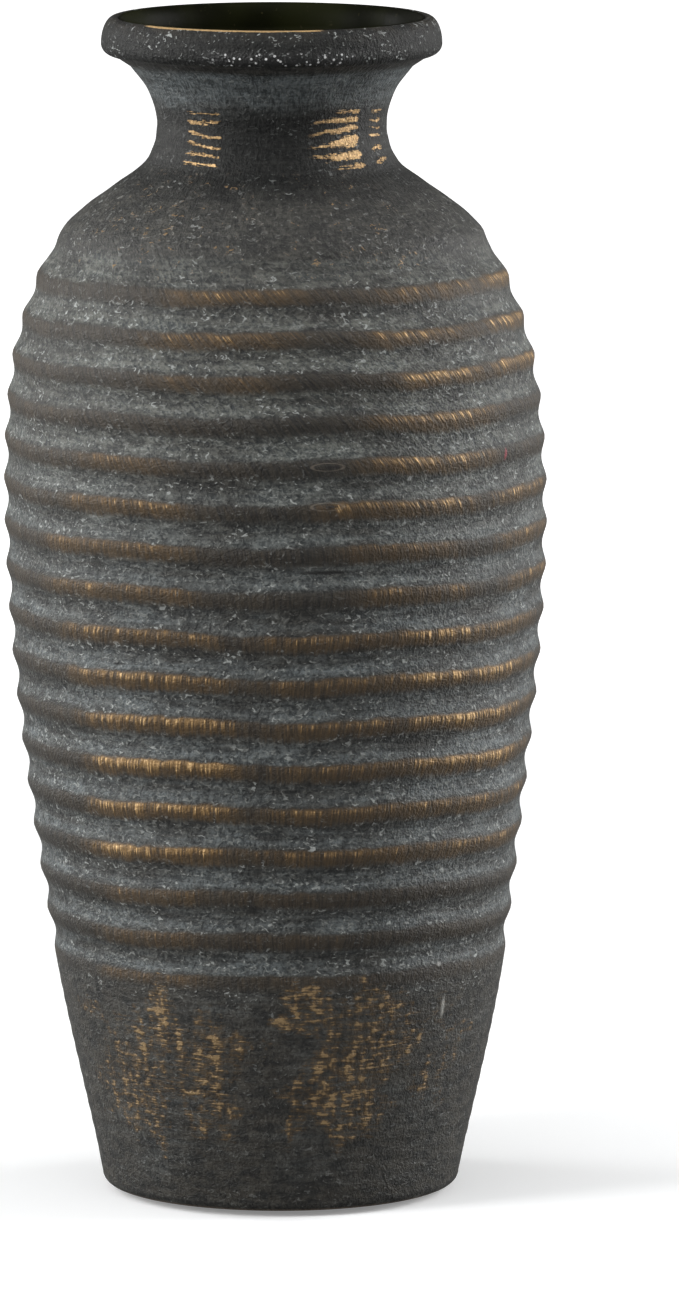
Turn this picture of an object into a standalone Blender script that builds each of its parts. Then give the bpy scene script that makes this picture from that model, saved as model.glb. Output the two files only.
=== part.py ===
"""A stoneware pottery vase: a thrown clay body, the glaze that lines it, and four felt pads.

Metres, +Z up. The origin is on the ground, at the centre of the foot. The body and its glaze are
profiles of (radius, height above the foot) points, turned about the Z axis by Screw modifiers.
"""

import math

import bpy

MM = 0.001

# Driving dimensions.
HEIGHT = 305.0 * MM
WALL_THICKNESS = 6.0 * MM
FLOOR_THICKNESS = 8.0 * MM
GAP = 0.3 * MM  # the adhesive film between a pad and the foot, and the bond line behind the glaze
TURN_STEPS = 32

# Felt pads, stuck on the foot ring.
PAD_RADIUS = 5.0 * MM
PAD_THICKNESS = 1.0 * MM
PAD_EDGE = 0.2 * MM
PAD_SIDES = 24
PAD_CIRCLE_RADIUS = 34.0 * MM
PAD_DIRECTIONS = {  # degrees about +Z, from +X
    "front_left": 225,
    "front_right": 315,
    "back_left": 135,
    "back_right": 45,
}
FOOT_LIFT = PAD_THICKNESS + GAP  # the foot ring's height above the ground
BODY_HEIGHT = HEIGHT - FOOT_LIFT

# The outer wall over its crests, as (height, radius) from the foot up. A smooth curve joins them.
WALL_STATIONS = (
    (3.0 * MM, 46.3 * MM),  # foot
    (60.0 * MM, 58.3 * MM),  # end of the plain taper
    (128.5 * MM, 67.2 * MM),
    (179.5 * MM, 70.0 * MM),  # belly
    (215.0 * MM, 67.6 * MM),
    (236.9 * MM, 60.7 * MM),  # top crest
    (248.5 * MM, 54.0 * MM),  # edge of the smooth shoulder
    (254.0 * MM, 48.4 * MM),
    (260.0 * MM, 40.1 * MM),
    (266.0 * MM, 32.4 * MM),
    (275.2 * MM, 29.5 * MM),  # neck
    (284.5 * MM, 31.8 * MM),
    (291.0 * MM, 36.4 * MM),  # under the lip
)
SHOULDER_EDGE = WALL_STATIONS[6][0]
UNDER_LIP = WALL_STATIONS[-1][0]
NECK_STEP = 2.6 * MM
TAPER_STEPS = 4

# Finger grooves, one under each crest. Their spacing opens at the belly, as it does by hand.
CREST_COUNT = 17
LOWEST_CREST = 61.7 * MM
CREST_PITCH = 10.95 * MM
CREST_BOW = 2.0 * MM
GROOVE_DEPTH = 1.2 * MM
GROOVE_SHARPNESS = 1.5  # 1 leaves a sharp crest between grooves, and 2 a plain wave
GROOVE_STEPS = 4

# Lip: a rolled bead, an upright oval in section that is flatter below.
LIP_RADIUS = 43.8 * MM
LIP_HALF_WIDTH = 3.4 * MM
LIP_RISE = 6.9 * MM  # from the bead's widest point up to its top
LIP_DROP = 3.1 * MM  # from the bead's widest point down to its underside

# Foot: a flat ring round a shallow recess.
FOOT_EDGE_RADIUS = 3.0 * MM
FOOT_EDGE_SLOPE = 12  # degrees from upright, the lean of the taper where the edge starts
RECESS_RADIUS = 28.0 * MM
RECESS_DEPTH = 2.5 * MM
RECESS_SLOPE_WIDTH = 1.5 * MM

# Inside.
INNER_CORNER_RADIUS = 14.0 * MM
INNER_TOP = 285.5 * MM  # the height on the outer wall where the inside starts to flare
INNER_STEP = 9.0 * MM
GLAZE_THICKNESS = 0.5 * MM
GLAZE_EDGE = 120  # where the glaze ends on the lip, in degrees from the bead's outer side over its top
ARC_STEP = 30  # degrees between points on the small arcs


def clear_scene():
    for obj in list(bpy.data.objects):
        bpy.data.objects.remove(obj)


def plain_material(name, colour, roughness, metallic=0.0):
    material = bpy.data.materials.new(name)
    material.use_nodes = True
    shader = material.node_tree.nodes["Principled BSDF"]
    shader.inputs["Base Color"].default_value = (*colour, 1.0)
    shader.inputs["Roughness"].default_value = roughness
    shader.inputs["Metallic"].default_value = metallic
    return material


def evenly(start, end, spacing):
    """Heights from start to end, both included, about this far apart."""
    steps = max(1, round(abs(end - start) / spacing))
    return [start + (end - start) * step / steps for step in range(steps + 1)]


def arc(centre, radius, start, end):
    """Points on an arc, from one angle in degrees to another."""
    return [
        (
            centre[0] + radius * math.cos(math.radians(angle)),
            centre[1] + radius * math.sin(math.radians(angle)),
        )
        for angle in evenly(start, end, ARC_STEP)
    ]


def station_slope(index):
    """How fast the wall's radius grows with height at a station."""
    below = WALL_STATIONS[max(index - 1, 0)]
    above = WALL_STATIONS[min(index + 1, len(WALL_STATIONS) - 1)]
    return (above[1] - below[1]) / (above[0] - below[0])


def wall_radius(height):
    """Radius of the wall over its crests: a cubic curve between the stations."""
    index = 0
    while index < len(WALL_STATIONS) - 2 and WALL_STATIONS[index + 1][0] < height:
        index += 1
    (low, low_radius), (high, high_radius) = WALL_STATIONS[index : index + 2]
    t = (height - low) / (high - low)
    rise = 3 * t**2 - 2 * t**3
    low_bend = (t**3 - 2 * t**2 + t) * station_slope(index)
    high_bend = (t**3 - t**2) * station_slope(index + 1)
    return (
        low_radius
        + (high_radius - low_radius) * rise
        + (high - low) * (low_bend + high_bend)
    )


def inside_wall(height, depth):
    """The point this deep in the wall, square to its outside at this height."""
    probe = 0.2 * MM
    slope = (wall_radius(height + probe) - wall_radius(height - probe)) / (2 * probe)
    length = math.hypot(1.0, slope)
    return (
        wall_radius(height) - depth / length,
        height + depth * slope / length,
    )


def crest_height(index):
    share = index / (CREST_COUNT - 1)
    return (
        LOWEST_CREST + CREST_PITCH * index + CREST_BOW * math.sin(math.pi * share**2)
    )


def lip_points(start, end, inset=0.0):
    """The bead between two angles: 180 is its inner side, 90 its top and -90 its underside."""
    centre_radius = LIP_RADIUS - LIP_HALF_WIDTH
    centre_height = BODY_HEIGHT - LIP_RISE
    return [
        (
            centre_radius + (LIP_HALF_WIDTH + inset) * out,
            centre_height + ((LIP_RISE if up > 0 else LIP_DROP) + inset) * up,
        )
        for out, up in arc((0.0, 0.0), 1.0, start, end)
    ]


def neck_points():
    """The neck and shoulder, from just under the lip to just above the shoulder's edge."""
    heights = evenly(UNDER_LIP, SHOULDER_EDGE, NECK_STEP)[:-1]
    return [(wall_radius(height), height) for height in heights]


def groove_points():
    """The grooved belly, from the shoulder's edge to just above the lowest crest."""
    crests = [crest_height(index) for index in range(CREST_COUNT)] + [SHOULDER_EDGE]
    points = []
    for top, bottom in zip(crests[:0:-1], crests[-2::-1]):
        for step in range(GROOVE_STEPS):
            share = step / GROOVE_STEPS
            height = top + (bottom - top) * share
            dip = GROOVE_DEPTH * math.sin(math.pi * share) ** GROOVE_SHARPNESS
            points.append((wall_radius(height) - dip, height))
    return points


def foot_points():
    """The plain taper, the foot's rounded edge, its flat ring and its recess, to the axis."""
    foot_height, foot_radius = WALL_STATIONS[0]
    edge_centre = (foot_radius - FOOT_EDGE_RADIUS, FOOT_EDGE_RADIUS)
    taper = evenly(
        LOWEST_CREST, foot_height, (LOWEST_CREST - foot_height) / TAPER_STEPS
    )
    return [
        *((wall_radius(height), height) for height in taper),
        *arc(edge_centre, FOOT_EDGE_RADIUS, -FOOT_EDGE_SLOPE, -90),
        (RECESS_RADIUS, 0.0),
        (RECESS_RADIUS - RECESS_SLOPE_WIDTH, RECESS_DEPTH),
        (0.0, RECESS_DEPTH),
    ]


def inner_points(inset):
    """The inside, from the axis up to the neck's flare. An inset moves it in from the clay."""
    corner_height = FLOOR_THICKNESS + INNER_CORNER_RADIUS
    corner_radius = inside_wall(corner_height, WALL_THICKNESS)[0] - INNER_CORNER_RADIUS
    wall = evenly(corner_height, INNER_TOP, INNER_STEP)
    return [
        (0.0, FLOOR_THICKNESS + inset),
        *arc(
            (corner_radius, corner_height),
            INNER_CORNER_RADIUS - inset,
            -90,
            -ARC_STEP,
        ),
        *(inside_wall(height, WALL_THICKNESS + inset) for height in wall),
    ]


def turned_solid(name, profile, material, collection):
    """A solid turned from a profile that runs up the inside and down the outside."""
    mesh = bpy.data.meshes.new(name)
    points = [(radius, 0.0, height + FOOT_LIFT) for radius, height in profile]
    edges = [(index, index + 1) for index in range(len(points) - 1)]
    mesh.from_pydata(points, edges, [])
    mesh.materials.append(material)
    solid = bpy.data.objects.new(name, mesh)
    collection.objects.link(solid)
    screw = solid.modifiers.new("turn", "SCREW")
    screw.axis = "Z"
    screw.steps = TURN_STEPS
    screw.render_steps = TURN_STEPS
    screw.use_merge_vertices = True
    screw.merge_threshold = 0.01 * MM
    screw.use_smooth_shade = True
    return solid


def stoneware_body(collection):
    stoneware = plain_material("charcoal_stoneware", (0.055, 0.056, 0.055), 0.6)
    outside = neck_points() + groove_points() + foot_points()
    profile = inner_points(0.0) + lip_points(180, -90) + outside
    turned_solid("stoneware_body", profile, stoneware, collection)


def inner_glaze(collection):
    glaze = plain_material("olive_black_glaze", (0.008, 0.010, 0.005), 0.15)
    back, face = (
        inner_points(inset) + lip_points(180, GLAZE_EDGE, inset)
        for inset in (GAP, GAP + GLAZE_THICKNESS)
    )
    turned_solid("inner_glaze", face + back[::-1], glaze, collection)


def felt_pads(collection):
    felt = plain_material("black_felt", (0.02, 0.02, 0.02), 0.95)
    for place, degrees in PAD_DIRECTIONS.items():
        direction = math.radians(degrees)
        bpy.ops.mesh.primitive_cylinder_add(
            vertices=PAD_SIDES,
            radius=PAD_RADIUS,
            depth=PAD_THICKNESS,
            location=(
                PAD_CIRCLE_RADIUS * math.cos(direction),
                PAD_CIRCLE_RADIUS * math.sin(direction),
                PAD_THICKNESS / 2,
            ),
        )
        pad = bpy.context.object
        pad.name = pad.data.name = f"felt_pad_{place}"
        pad.data.materials.append(felt)
        for holder in list(pad.users_collection):
            holder.objects.unlink(pad)
        collection.objects.link(pad)
        edge = pad.modifiers.new("edge", "BEVEL")
        edge.width = PAD_EDGE
        edge.segments = 1


def main():
    clear_scene()
    vase = bpy.data.collections.new("stoneware_vase")
    bpy.context.scene.collection.children.link(vase)
    stoneware_body(vase)
    inner_glaze(vase)
    felt_pads(vase)


main()
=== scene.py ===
"""The looks of a stoneware vase: turned surfaces and worn, bronze-rubbed finishes over its CAD."""

import math

import bpy
import numpy as np
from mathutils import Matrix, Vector


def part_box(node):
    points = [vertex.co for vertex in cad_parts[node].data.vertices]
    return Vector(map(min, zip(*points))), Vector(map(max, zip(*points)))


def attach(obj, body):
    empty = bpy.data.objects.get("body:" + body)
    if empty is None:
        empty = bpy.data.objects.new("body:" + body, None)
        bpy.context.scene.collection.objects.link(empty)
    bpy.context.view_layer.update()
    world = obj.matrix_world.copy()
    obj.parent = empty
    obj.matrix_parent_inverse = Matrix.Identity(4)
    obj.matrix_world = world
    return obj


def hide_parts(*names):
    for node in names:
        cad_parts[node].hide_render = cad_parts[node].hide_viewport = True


MM = 0.001

# The turned shape, in millimetres above the foot ring, as in the CAD source.
WALL_STATIONS = np.array(
    [
        (3.0, 46.3),  # foot
        (60.0, 58.3),  # end of the plain taper
        (128.5, 67.2),
        (179.5, 70.0),  # belly
        (215.0, 67.6),
        (236.9, 60.7),  # top crest
        (248.5, 54.0),  # edge of the smooth shoulder
        (254.0, 48.4),
        (260.0, 40.1),
        (266.0, 32.4),
        (275.2, 29.5),  # neck
        (284.5, 31.8),
        (291.0, 36.4),  # under the lip
    ]
)
SHOULDER_EDGE = 248.5
UNDER_LIP = 291.0
CREST_COUNT = 17
LOWEST_CREST = 61.7
CREST_PITCH = 10.95
CREST_BOW = 2.0
GROOVE_DEPTH = 1.2
GROOVE_SHARPNESS = 1.5
WALL_THICKNESS = 6.0
FLOOR_THICKNESS = 8.0
INNER_CORNER_RADIUS = 14.0
INNER_TOP = 285.5
LIP_RADIUS = 43.8
LIP_HALF_WIDTH = 3.4
LIP_RISE = 6.9
LIP_DROP = 3.1
FOOT_EDGE_RADIUS = 3.0
RECESS_RADIUS = 28.0
RECESS_DEPTH = 2.5
GLAZE_GAP = 0.1
GLAZE_THICKNESS = 0.5
GLAZE_EDGE = 112  # where the glaze ends on the lip, in the bead's degrees

# The visual mesh. Steps are between rings, in millimetres or in degrees.
COLUMNS = 256
ROW_STEP = 1.05  # on the outer wall
INNER_STEP = 5.0
FLAT_STEP = 6.0
CORNER_STEP = 15  # degrees round the inner corner and the foot's edge
CORNER_MARGIN = 4.0  # flat rings stop this far short of a rounded corner
BEAD_STEP = 8.0  # degrees round the lip's bead
BEAD_START = 172  # where the lip takes over from the inside, in the bead's degrees
OFF_THE_BEAD = -360.0  # what rings elsewhere have for the bead's degrees
FLARE_RINGS = 4
POLE_RADIUS = 2.0  # of the first and last rings, which close on the axis

# What the potter's hands left, in millimetres: wavering rings, a swelling wall, throwing lines, a rim
# that is lower in front, and a leaning axis.
WAVER = 0.45
SWELL = 0.25
THROWING_LINE_PITCH = 4.6
THROWING_LINE_DEPTH = 0.06
RIM_DIP = 1.3
LEAN = 2.1

# Heights from and to, in millimetres above the foot ring.
RINGED = (61.5, 238.0)
DIPPING = (275.0, 303.0)  # where the rim's dip grows to its full depth
LEANING = (0.0, 300.0)  # where the axis moves off to its full lean

# Where bronze was rubbed in: rings counted from the top, degrees round from the front, and how hard.
BRONZE_RUBS = (
    ((1, 2), (-16, 4), 0.60),
    ((3, 3), (-14, 4), 0.38),
    ((1, 1), (36, 54), 0.56),
    ((2, 2), (34, 52), 0.60),
    ((3, 3), (43, 54), 0.80),
    ((4, 4), (37, 60), 0.68),
    ((5, 5), (35, 56), 0.70),
    ((6, 6), (23, 48), 0.70),
    ((7, 8), (25, 42), 0.52),
    ((1, 3), (70, 88), 0.76),
    ((6, 8), (66, 82), 0.62),
    ((9, 14), (0, 68), 0.56),
    ((9, 9), (30, 42), 0.72),
    ((10, 10), (27, 58), 0.78),
    ((11, 11), (31, 54), 0.82),
    ((12, 12), (32, 57), 0.82),
    ((13, 13), (28, 54), 0.62),
    ((5, 5), (-30, -20), 0.48),
    ((6, 6), (-36, -19), 0.60),
    ((7, 7), (-46, -20), 0.58),
    ((8, 8), (-50, -22), 0.54),
    ((9, 9), (-48, -19), 0.62),
    ((10, 10), (-48, -21), 0.72),
    ((11, 11), (-47, -20), 0.80),
    ((12, 12), (-46, -20), 0.92),
    ((13, 14), (-46, -20), 0.80),
    ((15, 17), (-42, -24), 0.42),
)
RUB_FADE = 14  # degrees over which each rub fades out
RUB_WANDER = 5  # degrees by which a rub's ends wander from ring to ring
STRAY_BRONZE = 0.10  # a trace of bronze that lies on every crest, and how unevenly
STRAY_UNEVEN = 0.08
BRONZE_BEHIND = 0.75  # the hardest rub at the back, where it lies at random
BRUSH_SLANT = 0.011  # how far the strokes lean, in radians of turn for each millimetre up
DRAG_PITCH = 2.8  # between the drags of bronze round the neck, in millimetres

# Small marks: (degrees round from the front, height), (half width, half height), colour as it looks on
# screen, and strength.
MARKS = (
    ((12.2, 194.8), (2.2, 0.45), (22, 18, 18), 0.8),  # the dark hearts of two scars
    ((12.0, 184.8), (2.2, 0.45), (22, 18, 18), 0.8),
    ((10.2, 168.0), (8.5, 0.6), (14, 14, 14), 0.95),  # a hairline crack
    ((-36.0, 143.2), (2.4, 0.5), (20, 20, 20), 0.9),  # a dark nick
    ((20.2, 166.8), (1.3, 2.4), (150, 152, 146), 0.7),  # a pale fleck beside the crack
    ((44.0, 64.0), (1.0, 0.8), (180, 180, 176), 0.8),  # a white speck
    ((47.0, 52.4), (0.7, 7.5), (165, 165, 160), 0.85),  # a pale drip
    ((57.8, 194.2), (0.7, 2.2), (160, 70, 80), 0.8),  # a pink thread
)
SCARS = ((11.2, 194.8), (11.0, 184.8))
SCAR_SIZE = (4.2, 1.0)  # half width and half height
WHEEL_RADIUS = 62.0  # patterns that run round the vase take it to be this wide

# Felt pads: the side's (share of the radius, share of the thickness), from the bottom up.
PAD_SIDE = ((0.6, 0.0), (0.94, 0.02), (1.0, 0.2), (0.99, 0.7), (0.95, 0.97), (0.6, 1.0))
PAD_COLUMNS = 64
PAD_RAGGEDNESS = 0.02

# The studio. Azimuth 0 is the camera's side and 90 the right. Sizes are in metres, and power in watts.
FLOOR_RADIUS = 14.0
FLOOR_SIDES = 96
FLOOR_GLOW = (0.22, 1.0)  # near the vase and far off
FLOOR_GLOW_GROWS = (500, 1500)  # from and to this far from the vase, in millimetres
SOFTBOX_AIM = Vector((0, 0, 0.15))
SOFTBOXES = (  # name, (azimuth, elevation), distance, (width, height), power
    ("left_softbox", (-58, 24), 1.3, (0.35, 0.9), 10.5),
    ("right_softbox", (90, 20), 1.3, (0.35, 0.9), 8),
    ("left_rim_softbox", (-112, 15), 1.3, (0.4, 0.9), 8),
    ("right_rim_softbox", (115, 15), 1.3, (0.4, 0.9), 7),
    ("top_softbox", (-20, 74), 1.4, (1.1, 1.1), 7),
)
ROOM_TINT = (1.0, 0.99, 0.97, 1.0)
ROOM_LIGHT = 0.06  # what the room gives from the front and the back
SIDE_LIGHT = 0.80  # what it gives besides from the left and the right
BACKDROP_LIGHT = 1.1  # what the camera sees behind the vase
LENS = 282.9  # millimetres, on a sensor 36 millimetres wide
CAMERA_PLACE = Vector((0, -2.6, 0.5014))
CAMERA_AIM = Vector((0.0153, 0, 0.14135))


def evenly(start, end, spacing):
    """Numbers from start to end, both included, about this far apart."""
    return np.linspace(start, end, max(2, round(abs(end - start) / spacing) + 1))


def smoothstep(low, high, value):
    share = np.clip((value - low) / (high - low), 0.0, 1.0)
    return share * share * (3.0 - 2.0 * share)


def across(low, high, value, soft):
    """1 between low and high, falling to 0 over this much beyond them."""
    return smoothstep(low - soft, low, value) * (1 - smoothstep(high, high + soft, value))


def wall_radius(height):
    """Radius of the wall over its crests: a cubic curve between the stations."""
    heights, radii = WALL_STATIONS.T
    before = np.maximum(np.arange(len(heights)) - 1, 0)
    after = np.minimum(np.arange(len(heights)) + 1, len(heights) - 1)
    slopes = (radii[after] - radii[before]) / (heights[after] - heights[before])
    index = np.clip(np.searchsorted(heights, height) - 1, 0, len(heights) - 2)
    span = heights[index + 1] - heights[index]
    t = (height - heights[index]) / span
    rise = 3 * t**2 - 2 * t**3
    low_bend = (t**3 - 2 * t**2 + t) * slopes[index]
    high_bend = (t**3 - t**2) * slopes[index + 1]
    return (
        radii[index]
        + (radii[index + 1] - radii[index]) * rise
        + span * (low_bend + high_bend)
    )


def inside_wall(height, depth):
    """Points this deep in the wall, measured square to the wall from its outside at these heights."""
    probe = 0.2  # millimetres
    slope = (wall_radius(height + probe) - wall_radius(height - probe)) / (2 * probe)
    length = np.hypot(1.0, slope)
    return wall_radius(height) - depth / length, height + depth * slope / length


def crest_heights():
    """The crests from the lowest up, and the shoulder's edge above them."""
    index = np.arange(CREST_COUNT)
    bow = np.sin(np.pi * (index / (CREST_COUNT - 1)) ** 2)
    crests = LOWEST_CREST + CREST_PITCH * index + CREST_BOW * bow
    return np.append(crests, SHOULDER_EDGE)


def groove_share(height):
    """How far a height is from the crest below it, at 0, to the one above it, at 1.

    Below the lowest crest it is negative.
    """
    crests = crest_heights()
    index = np.clip(np.searchsorted(crests, height) - 1, 0, len(crests) - 2)
    share = (height - crests[index]) / (crests[index + 1] - crests[index])
    return np.minimum(share, 1.0)


def groove_dip(share):
    return GROOVE_DEPTH * np.sin(np.pi * np.maximum(share, 0.0)) ** GROOVE_SHARPNESS


def ring_number(height):
    """The nearest ring, counted from the top one as 1."""
    numbers = CREST_COUNT - np.arange(CREST_COUNT + 1)
    return np.round(np.interp(height, crest_heights(), numbers))


def lean(height):
    """How far the axis leans to the left at a height."""
    return LEAN * smoothstep(*LEANING, height)


def ripples(angle, height, seed, count=7):
    """A smooth random surface round the vase, between about -1 and 1, from this many waves."""
    random = np.random.default_rng(seed)
    total = np.zeros(np.broadcast(angle, height).shape)
    for _ in range(count):
        turns = random.integers(1, 9)
        rise = random.uniform(0.01, 0.06)
        phase = random.uniform(0, math.tau)
        total += np.sin(turns * angle + rise * height + phase)
    return total / math.sqrt(count)


def arc(centre, reach, start, end):
    """(radius, height) rows on a rounded corner, from one angle in degrees to another."""
    angle = np.radians(evenly(start, end, CORNER_STEP))
    return np.column_stack(
        (centre[0] + reach * np.cos(angle), centre[1] + reach * np.sin(angle))
    )


def around(profile):
    """Grids of angle, radius and height from (radius, height) rows, with a row for each ring.

    Angle 0 is the front, and it grows to the right.
    """
    angle = np.linspace(-math.pi, math.pi, COLUMNS, endpoint=False)[None, :]
    radius = np.repeat(profile[:, :1], COLUMNS, axis=1)
    height = np.repeat(profile[:, 1:], COLUMNS, axis=1)
    return angle, radius, height


def wall_faces(rows, columns):
    """Faces between neighbouring rings of points."""
    faces = []
    for row in range(rows - 1):
        low, high = row * columns, (row + 1) * columns
        for column in range(columns):
            after = (column + 1) % columns
            faces.append((low + column, high + column, high + after, low + after))
    return faces


def smooth_mesh(name, points, faces):
    mesh = bpy.data.meshes.new(name)
    mesh.from_pydata(points, [], faces)
    mesh.shade_smooth()
    return mesh


def turned_mesh(name, angle, radius, height, lift):
    """A closed mesh from rings of points, whose first and last rings end in a pole on the axis.

    lift is the foot's height above the ground, in millimetres.
    """
    dip = RIM_DIP * smoothstep(*DIPPING, height) * (0.5 + 0.5 * np.cos(angle))
    x = radius * np.sin(angle) - lean(height)
    y = -radius * np.cos(angle)
    rings = np.stack((x, y, height + lift - dip), axis=-1)
    rows, columns = radius.shape
    poles = rings[[0, -1]].mean(axis=1)
    points = np.concatenate((rings.reshape(-1, 3), poles)) * MM
    faces = wall_faces(rows, columns)
    first_pole, last_pole = rows * columns, rows * columns + 1
    last_ring = (rows - 1) * columns
    for column in range(columns):
        after = (column + 1) % columns
        faces.append((first_pole, column, after))
        faces.append((last_pole, last_ring + after, last_ring + column))
    return smooth_mesh(name, points.tolist(), faces)


def store(mesh, name, values):
    """Keeps one number per vertex on the mesh, for its material. A pole takes its ring's first one."""
    flat = np.concatenate((values.ravel(), [values[0, 0], values[-1, 0]]))
    attribute = mesh.attributes.new(name, "FLOAT", "POINT")
    attribute.data.foreach_set("value", flat.astype(np.float32))


def add_piece(name, mesh, material, node):
    """Shows a mesh in place of a CAD node, riding on the vase."""
    piece = bpy.data.objects.new(name, mesh)
    bpy.context.scene.collection.objects.link(piece)
    mesh.materials.append(material)
    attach(piece, "root")
    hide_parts(node)


class Nodes:
    """A node tree. Most methods add a node and give back what the node puts out."""

    def __init__(self, tree):
        self.tree = tree

    def feed(self, socket, value):
        if isinstance(value, bpy.types.NodeSocket):
            self.tree.links.new(value, socket)
        else:
            socket.default_value = value

    def add(self, kind, inputs, **settings):
        node = self.tree.nodes.new(kind)
        for setting, value in settings.items():
            setattr(node, setting, value)
        for key, value in inputs.items():
            self.feed(node.inputs[key], value)
        return node

    def math(self, operation, *values):
        inputs = dict(enumerate(values))
        return self.add("ShaderNodeMath", inputs, operation=operation).outputs[0]

    def times(self, first, *others):
        for other in others:
            first = self.math("MULTIPLY", first, other)
        return first

    def blend(self, *shares):
        """The sum of values, each given with its weight."""
        total = 0.0
        for value, weight in shares:
            total = self.math("MULTIPLY_ADD", value, weight, total)
        return total

    def most(self, first, *others):
        """The largest of some values."""
        for other in others:
            first = self.math("MAXIMUM", first, other)
        return first

    def without(self, value):
        return self.math("SUBTRACT", 1.0, value)

    def vector(self, operation, *values):
        inputs = dict(enumerate(values))
        return self.add("ShaderNodeVectorMath", inputs, operation=operation).outputs[0]

    def length(self, vector):
        node = self.add("ShaderNodeVectorMath", {0: vector}, operation="LENGTH")
        return node.outputs["Value"]

    def stored(self, name):
        return self.add("ShaderNodeAttribute", {}, attribute_name=name).outputs["Fac"]

    def place(self):
        """Where the surface is, in millimetres."""
        place = self.add("ShaderNodeTexCoord", {}).outputs["Object"]
        return self.vector("MULTIPLY", place, (1 / MM,) * 3)

    def height(self, place):
        return self.add("ShaderNodeSeparateXYZ", {0: place}).outputs["Z"]

    def noise(self, place, per_mm, detail=2.0, distortion=0.0, sharpness=0.5):
        """Noise with this many features per millimetre along x, y and z, from about 0 to 1."""
        stretched = self.vector("MULTIPLY", place, per_mm)
        inputs = {
            "Vector": stretched,
            "Scale": 1.0,
            "Detail": detail,
            "Roughness": sharpness,
            "Distortion": distortion,
        }
        return self.add("ShaderNodeTexNoise", inputs).outputs[0]

    def dots(self, place, per_mm, radius):
        """Round dots, about this many per millimetre each way, and this wide in their cells."""
        cells = self.add("ShaderNodeTexVoronoi", {"Vector": place, "Scale": per_mm})
        return self.step(cells.outputs["Distance"], 0.7 * radius, radius, 1.0, 0.0)

    def distance_from(self, place, where, size):
        """How far a place is from a point on the wall. At 1 it is on an oval of this half size."""
        degrees, height = where
        angle = math.radians(degrees)
        radius = float(wall_radius(np.array(height)))
        low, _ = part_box("stoneware_body")
        x = radius * math.sin(angle) - float(lean(height))
        point = (x, -radius * math.cos(angle), height + low.z / MM)
        offset = self.vector("SUBTRACT", place, point)
        wide, tall = size
        return self.length(self.vector("DIVIDE", offset, (wide, wide, tall)))

    def step(self, value, low, high, start=0.0, end=1.0):
        """A smooth step from start to end as the value goes from low to high."""
        inputs = {
            "Value": value,
            "From Min": low,
            "From Max": high,
            "To Min": start,
            "To Max": end,
        }
        node = self.add("ShaderNodeMapRange", inputs, interpolation_type="SMOOTHSTEP")
        return node.outputs["Result"]

    def mix(self, share, first, second):
        """A blend of two colours. The node takes them at inputs 6 and 7, and gives one at output 2."""
        inputs = {0: share, 6: first, 7: second}
        return self.add("ShaderNodeMix", inputs, data_type="RGBA").outputs[2]

    def bump(self, height, distance, strength=1.0):
        inputs = {"Height": height, "Distance": distance, "Strength": strength}
        return self.add("ShaderNodeBump", inputs).outputs[0]


class Finish(Nodes):
    """One material."""

    def __init__(self, name):
        self.material = bpy.data.materials.new(name)
        self.material.use_nodes = True
        super().__init__(self.material.node_tree)

    def surface(self, **inputs):
        """Sets the shader's inputs, named with underscores for spaces."""
        shader = self.tree.nodes["Principled BSDF"]
        for key, value in inputs.items():
            self.feed(shader.inputs[key.replace("_", " ")], value)


def paint(red, green, blue):
    """A colour given as it looks on screen, from 0 to 255, as the shader wants it."""

    def linear(level):
        level /= 255
        return level / 12.92 if level <= 0.04045 else ((level + 0.055) / 1.055) ** 2.4

    return (linear(red), linear(green), linear(blue), 1.0)


def bronze_cover(degrees, height, ring):
    """How hard bronze was rubbed on the crests, from 0 to 1."""
    angle = np.radians(degrees)
    cover = STRAY_BRONZE + STRAY_UNEVEN * ripples(angle, height, seed=11)
    behind = smoothstep(80, 105, np.abs(degrees))
    cover = cover + BRONZE_BEHIND * behind * np.clip(ripples(angle, 3 * height, seed=12), 0, 1)
    wander = RUB_WANDER * ripples(np.zeros(1), 9 * ring, seed=13)
    for (first, last), (left, right), strength in BRONZE_RUBS:
        rubbed = (ring >= first) & (ring <= last)
        reach = across(left, right, degrees + wander, RUB_FADE)
        cover = np.maximum(cover, strength * rubbed * reach)
    return np.clip(cover, 0.0, 1.0)


def neck_drags(degrees, height):
    """Where bronze was dragged round the neck: each drag starts hard at its right end."""
    left = 0.43 * across(-44, -28, degrees, 4)
    right = 0.94 * smoothstep(10, 46, degrees) * (1 - smoothstep(47.0, 48.5, degrees))
    far_right = 0.45 * across(60, 66, degrees, 5)
    behind = 0.9 * across(150, 172, degrees, 8)
    reach = np.maximum.reduce([left, right, far_right, behind])
    return reach * across(267, 280, height, 1.5)


def taper_dabs(degrees, height):
    """Where bronze was dabbed on the plain taper."""
    angle = np.radians(degrees)
    degrees = degrees + 7 * ripples(np.zeros(1), 12 * height, seed=21)
    height = height + 5 * ripples(4 * angle, height, seed=22)
    dabs = [
        across(-54, -16, degrees, 14) * across(24, 50, height, 12),
        1.12 * across(5, 32, degrees, 7) * across(24, 55, height, 10),
        0.9 * across(30, 44, degrees, 6) * across(49, 57, height, 5),
        0.8 * across(42, 54, degrees, 6) * across(32, 54, height, 8),
        0.8 * across(95, 140, degrees, 10) * across(22, 50, height, 6),
        0.8 * across(-165, -120, degrees, 10) * across(26, 55, height, 6),
    ]
    return np.maximum.reduce(dabs)


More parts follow.
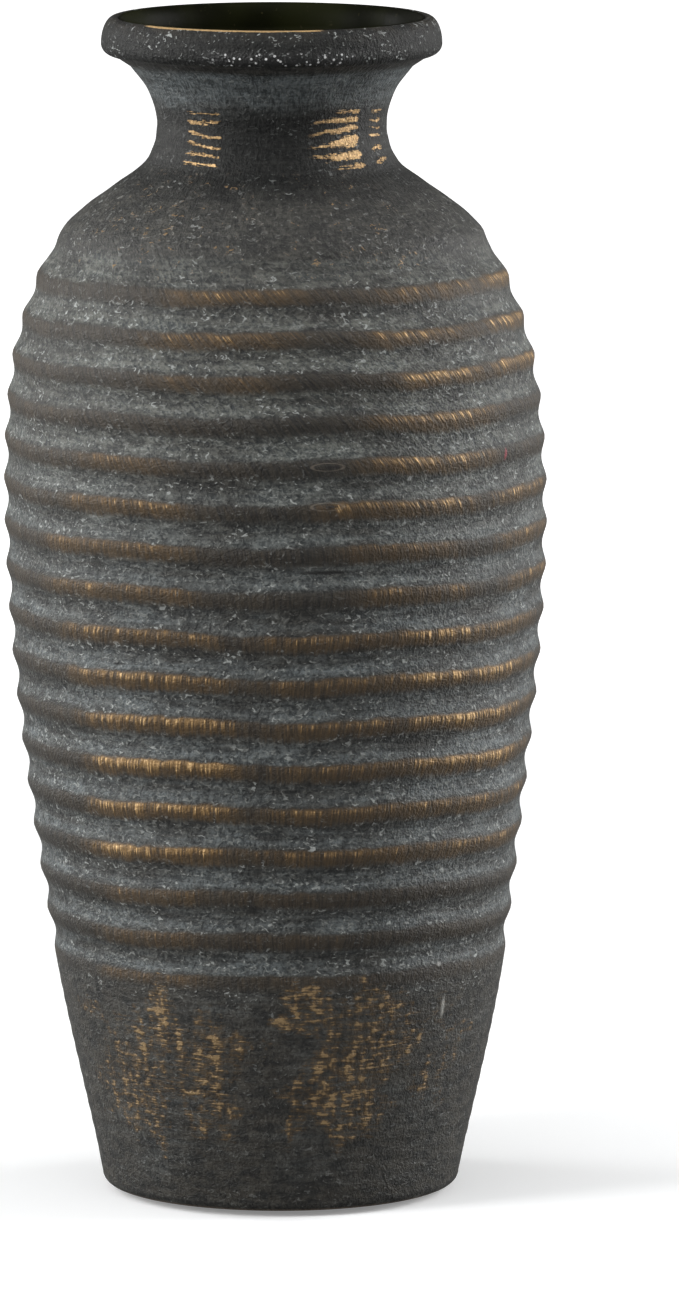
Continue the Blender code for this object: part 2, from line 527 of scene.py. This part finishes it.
def slate_wash_and_painted_light(height, share, ringed):
    """Where the pale slate wash lies, with painted light in it: in the grooves, round the shoulder, and
    under the lip.

    In a groove it is palest about a quarter of the way up, just above the brown band: that extra
    paleness is painted light, for the top lamp on the slope that faces up.
    """
    # Painted light: a pale stripe on each groove's upward-facing slope, just above the band.
    painted_light_above_band = np.exp(-(((share - 0.27) / 0.12) ** 2))
    grooves = ringed * (np.sin(np.pi * np.clip(share, 0, 1)) ** 0.5 + 0.4 * painted_light_above_band - 0.15)
    plain = 1 - ringed
    shoulder = 0.9 * across(240, 244, height, 4) + 0.25 * across(249, 262, height, 6)
    # Under the lip the wash goes past full strength: pale streaks the vase has, made paler still as
    # painted light against the lip's shadow.
    under_lip = 1.3 * across(287, 294, height, 13)
    taper = 0.5 * across(8, 57, height, 8)
    return np.maximum(grooves + plain * (shoulder + under_lip + taper), 0)


def fleck_field(height):
    """How thick the pale flecks lie on the wall: most on the rings, and least on the foot."""
    rings = across(58, 240, height, 4)
    shoulder = 0.6 * across(240, 262, height, 4)
    foot = 0.3 * across(0, 54, height, 4)
    neck = 0.35 * across(262, 294, height, 4)
    return np.maximum.reduce([rings, shoulder, foot, neck])


def brush_slant(angle, height):
    """How the bronze strokes lean: most on the upper rings."""
    upper = smoothstep(150, 225, height)
    return BRUSH_SLANT * (upper + 0.35 * ripples(angle, height, seed=5))


def wall_masks(degrees, height, wavering):
    """Masks for the outer wall's finish. wavering is the height as the rings waver."""
    share = groove_share(wavering)
    ringed = across(*RINGED, height, 3)
    shoulder_specks = across(-60, -10, degrees, 10) + across(8, 40, degrees, 8)
    # Painted shade on the neck: all round it, and most in front.
    neck_painted_shade = 0.75 + 0.25 * across(-16, 12, degrees, 24)
    return {
        "ringed": ringed,
        "wash": slate_wash_and_painted_light(height, share, ringed),
        "bronze": bronze_cover(degrees, height, ring_number(wavering)),
        "neck_patch": neck_drags(degrees, height),
        "low_patch": taper_dabs(degrees, height),
        "speckled": across(243, 262, height, 5) * shoulder_specks,
        "painted_shade_and_dark_lip": across(264, 277, height, 8) * neck_painted_shade,
        "rust": 0.6 * across(0, 56, height, 4),
    }


def lip_masks(degrees, lip_angle):
    """Masks for the lip's finish. lip_angle is in degrees round its bead."""
    lip = across(-45, 120, lip_angle, 15)
    return {
        # The lip darkened: partly its own darker clay, partly painted shade against the side lamps.
        "painted_shade_and_dark_lip": lip,
        "flecked": lip,
        "rust": 0.7 * lip * smoothstep(20, 80, lip_angle),
        "lip_patch": across(76, 125, lip_angle, 8) * across(-46, 12, degrees, 14),
        # Where the lip is glossy black, with droplets whose glints are painted.
        "glint": across(-40, 5, lip_angle, 16) * across(-14, 22, degrees, 16),
        "mouth": smoothstep(98, 106, lip_angle),
    }


def body_masks(angle, height, wavering, lip_angle, outside, bare):
    """All that the body's finish reads, by name. outside and bare say which rings are which."""
    degrees = np.degrees(angle)
    turn = math.tau * groove_share(wavering)
    masks = {
        "up": np.sin(turn),
        "near": np.cos(turn),
        "slant": brush_slant(angle, height),
        "flecked": fleck_field(height),
        "bare": bare,
    }
    for name, mask in wall_masks(degrees, height, wavering).items():
        masks[name] = outside * mask
    for name, mask in lip_masks(degrees, lip_angle).items():
        masks[name] = np.maximum(masks.get(name, 0.0), mask)
    return masks


class BodyFinish(Finish):
    """Charcoal clay with a slate wash in its grooves and bronze rubbed over its crests."""

    def __init__(self):
        super().__init__("charcoal_stoneware_finish")
        self.at = self.place()
        phase = self.math("ARCTAN2", self.stored("up"), self.stored("near"))
        self.rise = self.times(phase, CREST_PITCH / math.tau)  # millimetres up from the nearest crest
        self.mottle = self.noise(self.at, (0.05, 0.05, 0.07), detail=4)
        self.clouds = self.noise(self.at, (0.22, 0.22, 0.4), detail=3)
        self.grain = self.noise(self.at, (1.3, 1.3, 1.5), detail=3, sharpness=0.65)
        self.turned = self.noise(self.at, (0.10, 0.10, 1.1), detail=3, sharpness=0.6)
        self.specks = self.noise(self.at, (0.7, 0.7, 1.0), detail=1, distortion=1.0)
        self.wheel, leaning = self.places_round_the_wheel()
        self.hatch = self.noise(leaning, (1.9, 1.9, 0.16), detail=3, sharpness=0.6)
        self.coarse = self.noise(leaning, (0.3, 0.3, 0.10), detail=2)
        self.scratches = self.noise(leaning, (0.8, 0.8, 0.55), detail=3, distortion=0.8)
        rough = self.blend((self.grain, 0.40), (self.turned, 0.32), (self.scratches, 0.43))
        self.fine = self.step(rough, 0.46, 0.70)

    def places_round_the_wheel(self):
        """Places pushed out to the wheel's radius, and the same with the brush strokes' lean."""
        flat = self.vector("NORMALIZE", self.vector("MULTIPLY", self.at, (1, 1, 0)))
        level = self.vector("MULTIPLY", flat, (WHEEL_RADIUS, WHEEL_RADIUS, 0))
        upright = self.vector("MULTIPLY", self.at, (0, 0, 1))
        inputs = {"Vector": level, "Angle": self.times(self.rise, self.stored("slant"))}
        turned = self.add("ShaderNodeVectorRotate", inputs, rotation_type="Z_AXIS").outputs[0]
        return self.vector("ADD", level, upright), self.vector("ADD", turned, upright)

    def clay(self):
        """Near-black clay, paler where the wash has stayed, with rust in places, and painted shade on
        the neck and the lip, whose clay is also darker of itself.
        """
        curls = self.times(self.step(self.specks, 0.48, 0.68), self.stored("flecked"), 0.5)
        dark = self.mix(self.fine, paint(24, 24, 23), paint(70, 69, 64))
        dark = self.mix(self.step(self.clouds, 0.36, 0.58, 0.6, 0.0), dark, paint(20, 21, 21))
        dark = self.mix(curls, dark, paint(98, 97, 92))
        wash = self.stored("wash")
        washed = self.times(self.step(wash, 0.0, 0.5), self.patches(wash))
        colour = self.mix(washed, dark, self.slate(curls))
        # Painted shade on the neck and the lip, where the lip's clay is also darker of itself.
        painted_shade_and_dark_lip = self.mix(self.fine, paint(12, 13, 13), paint(39, 40, 39))
        colour = self.mix(self.times(self.stored("painted_shade_and_dark_lip"), 0.9), colour, painted_shade_and_dark_lip)
        rusty = self.times(self.stored("rust"), self.step(self.clouds, 0.35, 0.65))
        return self.mix(self.times(rusty, 0.5), colour, paint(68, 61, 51))

    def patches(self, wash):
        """Where the wash kept its hold: in clouds, and in streaks that run round the vase."""
        streaks = self.noise(self.at, (0.05, 0.05, 0.7), detail=3)
        hold = self.blend((self.mottle, 0.6), (self.clouds, 0.4), (streaks, 0.4), (wash, 0.45))
        return self.step(hold, 0.88, 1.42)

    def slate(self, curls):
        """The wash itself: blue-grey, and greener on the upper rings and the shoulder."""
        height = self.height(self.at)
        upper = self.times(self.step(height, 150, 215), self.step(height, 250, 270, 1.0, 0.0))
        pale = self.mix(upper, paint(114, 121, 123), paint(117, 119, 112))
        slate = self.mix(self.fine, paint(50, 56, 58), pale)
        return self.mix(curls, slate, paint(142, 146, 142))

    def bands(self, colour):
        """A brown band over each crest, that ends sharply above and softly below.

        Gives the colour, how much band there is, and how far up from the band's ragged edge.
        """
        edge = self.blend((self.clouds, 1.6), (self.hatch, 1.2), (self.rise, 1.0), (1.0, -1.4))
        below = self.math("ADD", edge, self.blend((self.mottle, 4.0), (1.0, -2.0)))
        reach = self.times(self.step(edge, 0.9, 2.0, 1.0, 0.0), self.step(below, -3.8, -1.4))
        band = self.times(self.stored("ringed"), reach)
        brown = self.mix(self.step(self.hatch, 0.36, 0.62), paint(28, 26, 24), paint(57, 52, 44))
        return self.mix(self.times(band, 0.85), colour, brown), band, edge

    def flecks(self, colour, band):
        """Pale flecks and dark pits, where the clay's grog broke through."""
        field = self.noise(self.at, (0.12, 0.12, 0.2), detail=2)
        field = self.times(self.step(field, 0.40, 0.62, 0.2, 1.0), self.stored("flecked"))
        field = self.times(field, self.without(self.times(band, 0.75)))
        field = self.times(field, self.without(self.stored("bare")))
        pits = self.times(self.step(self.specks, 0.27, 0.34, 1.0, 0.0), field)
        colour = self.mix(self.times(pits, 0.5), colour, paint(30, 30, 30))
        flecks = self.times(self.step(self.specks, 0.64, 0.71), field)
        return self.mix(self.times(flecks, 0.75), colour, paint(176, 180, 178))

    def rubbed(self, band, edge):
        """Bronze on the crests: a thin film, and strokes that hang from the band's top edge."""
        cover = self.stored("bronze")
        thin = self.step(self.hatch, 0.34, 0.60, 0.5, 1.0)
        film = self.times(cover, band, thin, self.step(self.coarse, 0.32, 0.60, 0.6, 1.0))
        hang = self.step(edge, -2.6, 0.6, 0.30, 0.0)
        stroke = self.blend((cover, 0.50), (self.coarse, 0.35), (self.hatch, 0.75))
        stroke = self.math("SUBTRACT", stroke, hang)
        return film, self.times(self.step(stroke, 0.66, 1.12), band)

    def dragged(self):
        """Drags round the neck: thick where each stroke began, and tapering off to the left."""
        patch = self.stored("neck_patch")
        wander = self.noise(self.at, (0.05, 0.05, 0.10), detail=1)
        lane = self.blend((self.height(self.at), 1 / DRAG_PITCH), (wander, 2.4))
        between = self.math("PINGPONG", lane, 0.5)
        frayed = self.noise(self.at, (0.3, 0.3, 3.4), detail=3, sharpness=0.65)
        broken = self.noise(self.wheel, (0.4, 0.4, 2.0), detail=3)
        drag = self.blend(
            (patch, 0.55), (frayed, 1.1), (broken, 0.6), (self.grain, 0.5), (between, -1.3)
        )
        return self.times(self.step(drag, 1.12, 1.25), self.step(patch, 0.05, 0.3))

    def dabbed(self):
        """Dabs on the taper, that caught on the wall's weave of throwing lines and brush marks."""
        patch = self.stored("low_patch")
        columns = self.noise(self.wheel, (0.30, 0.30, 0.05), detail=2)
        dashes = self.noise(self.at, (0.22, 0.22, 1.6), detail=2)
        blots = self.noise(self.at, (0.5, 0.5, 0.5), detail=2)
        weave = self.blend((columns, 0.7), (dashes, 0.8), (blots, 0.9), (patch, 0.5))
        inside = self.step(patch, 0.02, 0.3)
        film = self.times(self.step(weave, 1.55, 1.90), inside, 0.5)
        return film, self.times(self.step(weave, 1.76, 1.98), inside)

    def worn_lip(self):
        patch = self.stored("lip_patch")
        worn = self.blend((patch, 0.5), (self.clouds, 0.6), (self.grain, 0.3))
        return self.times(self.step(worn, 0.66, 0.88), self.step(patch, 0.05, 0.4))

    def speckled(self):
        """Specks of bronze on the shoulder."""
        spots = self.times(self.step(self.specks, 0.60, 0.68), self.step(self.clouds, 0.5, 0.62))
        return self.times(spots, self.stored("speckled"), 0.8)

    def bronze(self, colour, band, edge):
        """Lays all the bronze over a colour, with a painted highlight on the crest strokes. Gives the
        colour and where the bronze is thick.
        """
        film, strokes = self.rubbed(band, edge)
        low_film, dabs = self.dabbed()
        drags = self.dragged()
        worn = self.worn_lip()
        film = self.times(self.most(film, low_film), 0.9)
        colour = self.mix(film, colour, paint(108, 84, 50))
        gilt = self.most(strokes, drags, dabs, worn, self.speckled())
        gold = self.mix(self.step(gilt, 0.2, 0.9), paint(98, 75, 47), paint(150, 119, 76))
        # Painted highlight: the palest gold on the strokes' hatch peaks stands for the side lamps
        # caught on the bronze; on the neck's drags and the lip's worn edge it is the bronze's own paler
        # gold.
        pale_gold_and_highlight = self.times(self.step(self.hatch, 0.52, 0.68), self.step(strokes, 0.5, 1.0))
        pale_gold_and_highlight = self.most(pale_gold_and_highlight, self.times(drags, self.fine), self.times(worn, 0.8))
        gold = self.mix(pale_gold_and_highlight, gold, paint(228, 190, 136))
        gold = self.mix(dabs, gold, paint(166, 140, 102))
        return self.mix(gilt, colour, gold), gilt

    def droplets_and_painted_glints(self, colour, glint):
        """Droplets of clear glaze on the front of the lip, raised by the bump; their white is a painted
        highlight, for the glints they catch. Gives the colour and where they stand.
        """
        bead_glints = self.times(self.dots(self.at, 0.75, 0.31), self.step(glint, 0.5, 1.0))
        colour = self.mix(self.times(glint, 0.5), colour, paint(20, 20, 21))
        # Painted highlight: near-white dots for the glints off the droplets.
        return self.mix(bead_glints, colour, paint(235, 236, 236)), bead_glints

    def marks(self, colour):
        """The small marks, and a pale rim round each scar."""
        for where, size, shade, strength in MARKS:
            inside = self.step(self.distance_from(self.at, where, size), 0.3, 1.2, strength, 0.0)
            colour = self.mix(inside, colour, paint(*shade))
        for where in SCARS:
            distance = self.distance_from(self.at, where, SCAR_SIZE)
            outside = self.step(distance, 1.0, 1.15, 0.45, 0.0)
            rim = self.times(self.step(distance, 0.8, 0.95), outside)
            colour = self.mix(rim, colour, paint(130, 120, 108))
        return colour


def body_finish():
    """The body's material: the clay, then all that was laid over it, in the order it was laid."""
    finish = BodyFinish()
    colour, band, edge = finish.bands(finish.clay())
    colour = finish.flecks(colour, band)
    colour, gilt = finish.bronze(colour, band, edge)
    glint = finish.stored("glint")
    colour, bead_glints = finish.droplets_and_painted_glints(colour, glint)
    colour = finish.marks(colour)
    bare_clay = finish.mix(finish.fine, paint(96, 84, 72), paint(140, 126, 110))
    colour = finish.mix(finish.stored("bare"), colour, bare_clay)
    colour = finish.mix(finish.stored("mouth"), colour, paint(15, 16, 9))
    matt = finish.without(finish.most(gilt, glint))
    relief = finish.blend(
        (finish.grain, 0.7), (finish.scratches, 0.7), (finish.specks, 0.6), (gilt, 0.3), (bead_glints, 1.0)
    )
    finish.surface(
        Base_Color=colour,
        Metallic=finish.times(gilt, 0.4),
        Roughness=finish.blend((matt, 0.2), (1.0, 0.4)),
        # The painted shade on the neck and the lip is also made less shiny.
        Specular_IOR_Level=finish.blend((finish.times(finish.stored("painted_shade_and_dark_lip"), matt), -0.23), (1.0, 0.5)),
        Normal=finish.bump(relief, 0.45 * MM),
    )
    return finish.material


def glaze_finish():
    """Olive-black glass, thick enough to pool into slow ripples."""
    finish = Finish("olive_black_glaze_finish")
    place = finish.place()
    pool = finish.noise(place, (0.05, 0.05, 0.03), detail=2)
    speck = finish.noise(place, (0.8, 0.8, 0.8), detail=2)
    colour = finish.mix(finish.step(pool, 0.35, 0.65), paint(13, 14, 7), paint(26, 28, 11))
    colour = finish.mix(finish.step(speck, 0.66, 0.74), colour, paint(44, 42, 26))
    finish.surface(
        Base_Color=colour,
        Roughness=finish.step(pool, 0.3, 0.7, 0.35, 0.5),
        Specular_IOR_Level=0.03,
        Normal=finish.bump(finish.blend((pool, 1.0), (speck, 0.1)), 1.0 * MM, 0.5),
    )
    return finish.material


def felt_finish():
    """Pressed black felt: matted fibres with a pale bloom."""
    finish = Finish("black_felt_finish")
    place = finish.place()
    fibres = finish.noise(place, (3.0, 0.8, 3.0), detail=3, distortion=1.5)
    colour = finish.mix(finish.step(fibres, 0.4, 0.7), paint(24, 24, 25), paint(58, 58, 60))
    finish.surface(
        Base_Color=colour,
        Roughness=finish.step(fibres, 0.3, 0.7, 0.9, 1.0),
        Sheen_Weight=0.4,
        Normal=finish.bump(fibres, 0.25 * MM),
    )
    return finish.material


def floor_finish():
    """White paper that is white to the horizon, because it glows to the camera, and more far off.

    To the light it is grey, so that it doesn't light the vase from below.
    """
    finish = Finish("floor_finish")
    place = finish.place()
    seen = finish.add("ShaderNodeLightPath", {}).outputs["Is Camera Ray"]
    fibre = finish.noise(place, (0.02, 0.02, 0.02), detail=3)
    paper = finish.mix(fibre, (0.88, 0.89, 0.90, 1), (0.91, 0.92, 0.93, 1))
    glow = finish.step(finish.length(place), *FLOOR_GLOW_GROWS, *FLOOR_GLOW)
    finish.surface(
        Base_Color=finish.mix(seen, (0.3, 0.3, 0.3, 1), paper),
        Roughness=0.9,
        Specular_IOR_Level=0.1,
        Emission_Color=(1.0, 1.0, 1.0, 1.0),
        Emission_Strength=finish.times(seen, glow),
    )
    return finish.material


def flat_rings(start, end, height):
    radius = evenly(start, end, FLAT_STEP)
    return np.column_stack((radius, np.full_like(radius, height)))


def bead_angles(start, end):
    """Degrees round the lip's bead: 180 is its inner side, 90 its top and -90 its underside."""
    return evenly(start, end, BEAD_STEP)


def bead(top, angles, inset=0.0):
    """The lip's rings at these angles. An inset moves them off the clay."""
    turn = np.radians(angles)
    tall = np.where(turn > 0, LIP_RISE, LIP_DROP) + inset
    radius = LIP_RADIUS - LIP_HALF_WIDTH + (LIP_HALF_WIDTH + inset) * np.cos(turn)
    return np.column_stack((radius, top - LIP_RISE + tall * np.sin(turn)))


def inside_profile(inset, top):
    """The inside's rings, from its floor's middle up to the lip. An inset moves them off the clay."""
    corner_height = FLOOR_THICKNESS + INNER_CORNER_RADIUS
    corner_radius = inside_wall(corner_height, WALL_THICKNESS)[0] - INNER_CORNER_RADIUS
    bottom = flat_rings(POLE_RADIUS, corner_radius - CORNER_MARGIN, FLOOR_THICKNESS + inset)
    corner_centre = (corner_radius, corner_height)
    corner = arc(corner_centre, INNER_CORNER_RADIUS - inset, -90, -CORNER_STEP)
    wall_heights = evenly(corner_height, INNER_TOP, INNER_STEP)
    wall = np.column_stack(inside_wall(wall_heights, WALL_THICKNESS + inset))
    mouth = (LIP_RADIUS - 2 * LIP_HALF_WIDTH - inset, top - LIP_RISE)
    flare = np.linspace(wall[-1], mouth, FLARE_RINGS)[1:]
    return np.concatenate((bottom, corner, wall, flare))


def body_profile(top):
    """The body's rings, from the middle of its floor, over the lip and down to its underside.

    Gives (radius, height) rows, each row's degrees round the lip's bead, and the rows where the outer
    wall starts and ends.
    """
    angles = bead_angles(BEAD_START, -90)
    foot_height, foot_radius = WALL_STATIONS[0]
    wall_heights = evenly(UNDER_LIP, foot_height, ROW_STEP)
    wall = np.column_stack((wall_radius(wall_heights), wall_heights))
    edge_centre = (foot_radius - FOOT_EDGE_RADIUS, FOOT_EDGE_RADIUS)
    edge = arc(edge_centre, FOOT_EDGE_RADIUS, -CORNER_STEP, -90)
    ring = flat_rings(edge_centre[0] - CORNER_MARGIN, RECESS_RADIUS, 0.0)
    recess = flat_rings(RECESS_RADIUS - RECESS_DEPTH, POLE_RADIUS, RECESS_DEPTH)
    inside = inside_profile(0.0, top)
    profile = np.concatenate((inside, bead(top, angles), wall, edge, ring, recess))
    wall_start = len(inside) + len(angles)
    lip_angle = np.full(len(profile), OFF_THE_BEAD)
    lip_angle[len(inside) : wall_start] = angles
    return profile, lip_angle[:, None], wall_start, wall_start + len(wall)


def hand_thrown(angle, radius, height, wavering):
    """The radius with the grooves, the throwing lines and the wall's slight swell."""
    plain = across(12, 52, height, 6) + across(243, 275, height, 4)
    spiral = np.sin(math.tau * height / THROWING_LINE_PITCH + angle)
    swell = ripples(angle, height, seed=4) * across(12, 250, height, 9)
    grooved = radius - groove_dip(groove_share(wavering))
    return grooved + plain * THROWING_LINE_DEPTH * spiral + SWELL * swell


def stoneware_body(foot, top):
    """The clay body, from the foot's height above the ground and the top's height above the foot."""
    profile, lip_angle, wall_start, wall_end = body_profile(top)
    row = np.arange(len(profile))[:, None]
    outside = (row >= wall_start) & (row < wall_end)
    bare = row >= wall_end + 3  # from under the foot's edge, three rings below the wall
    angle, radius, height = around(profile)
    wavering = height + WAVER * ripples(angle, height, seed=3) * across(40, 235, height, 15)
    radius = np.where(outside, hand_thrown(angle, radius, height, wavering), radius)
    mesh = turned_mesh("stoneware_body_skin", angle, radius, height, foot)
    masks = body_masks(angle, height, wavering, lip_angle, outside, bare)
    for name, mask in masks.items():
        store(mesh, name, np.broadcast_to(mask, height.shape))
    add_piece(
        "stoneware_body_skin", mesh, body_finish(), "stoneware_body"
    )


def glaze_rings(inset, top):
    """The inside and the lip's inner side, moved this far off the clay."""
    lip = bead(top, bead_angles(BEAD_START, GLAZE_EDGE), inset)
    return np.concatenate((inside_profile(inset, top), lip))


def inner_glaze(foot, top):
    """The glaze, as a thin closed shell just off the clay."""
    back = glaze_rings(GLAZE_GAP, top)
    face = glaze_rings(GLAZE_GAP + GLAZE_THICKNESS, top)
    grids = around(np.concatenate((face, back[::-1])))
    mesh = turned_mesh("inner_glaze_skin", *grids, foot)
    add_piece("inner_glaze_skin", mesh, glaze_finish(), "inner_glaze")


def felt_pad(node, material):
    """A felt disc with soft, slightly ragged edges, in the place of its CAD node."""
    low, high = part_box(node)
    centre = (low + high) / 2
    reach = (high.x - low.x) / 2
    thickness = high.z - low.z
    random = np.random.default_rng(sum(map(ord, node)))
    points = []
    for out, up in PAD_SIDE:
        ragged = 1 - PAD_RAGGEDNESS * random.random(PAD_COLUMNS) * (out > 0.9)
        for column, share in enumerate(ragged):
            turn = math.tau * column / PAD_COLUMNS
            radius = reach * out * share
            height = thickness * (up - 0.5)
            offset = Vector((radius * math.cos(turn), radius * math.sin(turn), height))
            points.append(centre + offset)
    bottom = range(PAD_COLUMNS)
    top = range(len(points) - PAD_COLUMNS, len(points))
    side = [face[::-1] for face in wall_faces(len(PAD_SIDE), PAD_COLUMNS)]
    mesh = smooth_mesh(f"{node}_skin", points, [bottom[::-1], *side, top])
    add_piece(f"{node}_skin", mesh, material, node)


def floor():
    bpy.ops.mesh.primitive_circle_add(
        vertices=FLOOR_SIDES, radius=FLOOR_RADIUS, fill_type="NGON"
    )
    paper = bpy.context.object
    paper.name = "floor"
    paper.data.materials.append(floor_finish())


def softbox(name, angles, distance, size, power):
    """A soft rectangular lamp that looks at the vase."""
    lamp = bpy.data.lights.new(name, "AREA")
    lamp.shape = "RECTANGLE"
    lamp.size, lamp.size_y = size
    lamp.energy = power
    azimuth, elevation = map(math.radians, angles)
    outward = math.cos(elevation)
    direction = Vector(
        (math.sin(azimuth) * outward, -math.cos(azimuth) * outward, math.sin(elevation))
    )
    holder = bpy.data.objects.new(name, lamp)
    holder.location = SOFTBOX_AIM + direction * distance
    holder.rotation_euler = direction.to_track_quat("Z", "Y").to_euler()
    holder.visible_camera = False
    bpy.context.scene.collection.objects.link(holder)


def room():
    """A white room that is brighter at the sides. The camera alone sees it evenly white."""
    world = bpy.data.worlds.new("studio")
    world.use_nodes = True
    nodes = Nodes(world.node_tree)
    direction = nodes.add("ShaderNodeTexCoord", {}).outputs["Generated"]
    sideways = nodes.add("ShaderNodeSeparateXYZ", {0: direction}).outputs["X"]
    strength = nodes.math("MULTIPLY_ADD", nodes.times(sideways, sideways), SIDE_LIGHT, ROOM_LIGHT)
    lit = nodes.add("ShaderNodeBackground", {"Color": ROOM_TINT, "Strength": strength})
    white = (1.0, 1.0, 1.0, 1.0)
    seen = nodes.add("ShaderNodeBackground", {"Color": white, "Strength": BACKDROP_LIGHT})
    camera_ray = nodes.add("ShaderNodeLightPath", {}).outputs["Is Camera Ray"]
    shaders = {0: camera_ray, 1: lit.outputs[0], 2: seen.outputs[0]}
    choice = nodes.add("ShaderNodeMixShader", shaders).outputs[0]
    nodes.feed(world.node_tree.nodes["World Output"].inputs[0], choice)
    bpy.context.scene.world = world


def studio():
    """The room, with tall softboxes at the sides and a broad one above."""
    room()
    for box in SOFTBOXES:
        softbox(*box)
    bpy.context.scene.view_settings.view_transform = "Standard"


def camera():
    """A long lens from slightly above, with the vase left of the middle, as in a shop photograph."""
    lens = bpy.data.cameras.new("camera")
    lens.lens = LENS
    lens.sensor_width = 36
    lens.clip_end = 100
    holder = bpy.data.objects.new("camera", lens)
    holder.location = CAMERA_PLACE
    holder.rotation_euler = (CAMERA_AIM - CAMERA_PLACE).to_track_quat("-Z", "Y").to_euler()
    bpy.context.scene.collection.objects.link(holder)
    bpy.context.scene.camera = holder


def vase(nodes):
    """The vase's pieces, each in the place of its CAD node."""
    low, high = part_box("stoneware_body")
    foot, top = low.z / MM, high.z / MM
    stoneware_body(foot, top - foot)
    inner_glaze(foot, top - foot)
    felt = felt_finish()
    for node in sorted(nodes):
        if node.startswith("felt_pad"):
            felt_pad(node, felt)


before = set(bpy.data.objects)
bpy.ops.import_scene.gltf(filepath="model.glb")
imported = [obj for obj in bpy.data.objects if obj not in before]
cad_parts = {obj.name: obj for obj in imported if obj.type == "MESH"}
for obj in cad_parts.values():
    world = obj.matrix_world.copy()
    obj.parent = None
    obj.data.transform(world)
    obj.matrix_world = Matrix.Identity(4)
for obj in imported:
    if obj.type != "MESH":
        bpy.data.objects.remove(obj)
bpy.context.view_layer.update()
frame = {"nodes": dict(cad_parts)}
vase(frame["nodes"])
floor()
studio()
camera()
